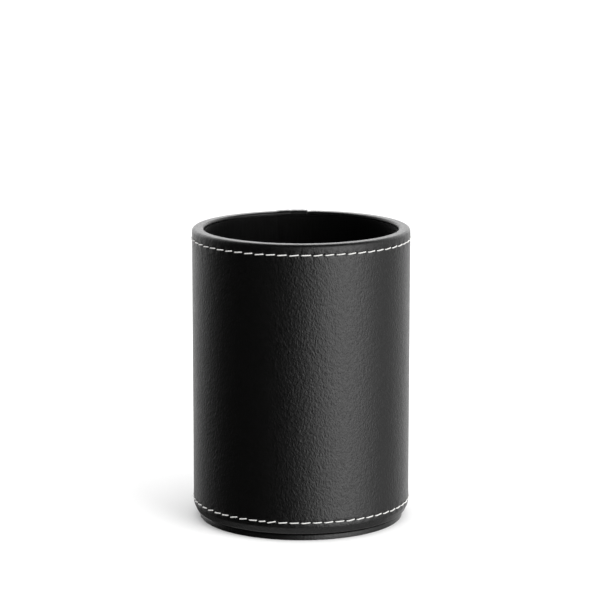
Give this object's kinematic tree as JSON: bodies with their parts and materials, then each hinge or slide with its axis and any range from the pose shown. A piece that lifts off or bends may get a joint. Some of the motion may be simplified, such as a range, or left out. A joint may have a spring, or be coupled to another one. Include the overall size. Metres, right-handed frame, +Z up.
{
  "type": "pen holder cup",
  "caption": "Round desk pen cup: a board tube wrapped in black leather, turned in over the rim and sewn in white, with a lining and a covered base.",
  "frame": {"origin": "centre of the underside, on the surface the cup stands on", "axes": "+Z up along the cup's axis, -Y towards the front, the sewn lap seam at +Y"},
  "size_m": [0.0822, 0.0831, 0.1105],
  "materials": {
    "black_leather": "semi-gloss imitation leather with a fine grain",
    "black_lining": "thin matt imitation leather lining",
    "greyboard": "uncoated grey board",
    "white_thread": "twisted polyester sewing thread"
  },
  "bodies": {
    "root": {"outer_wrap": "black_leather", "base_cover": "black_leather", "lining_sleeve": "black_lining", "floor_cover": "black_lining", "tube_core": "greyboard", "base_board": "greyboard", "floor_card": "greyboard", "base_card": "greyboard", "upper_needle_thread": "white_thread", "upper_bobbin_thread": "white_thread", "lower_needle_thread": "white_thread", "lower_bobbin_thread": "white_thread", "seam_needle_thread_left": "white_thread", "seam_bobbin_thread_left": "white_thread", "seam_needle_thread_right": "white_thread", "seam_bobbin_thread_right": "white_thread"}
  },
  "joints": []
}
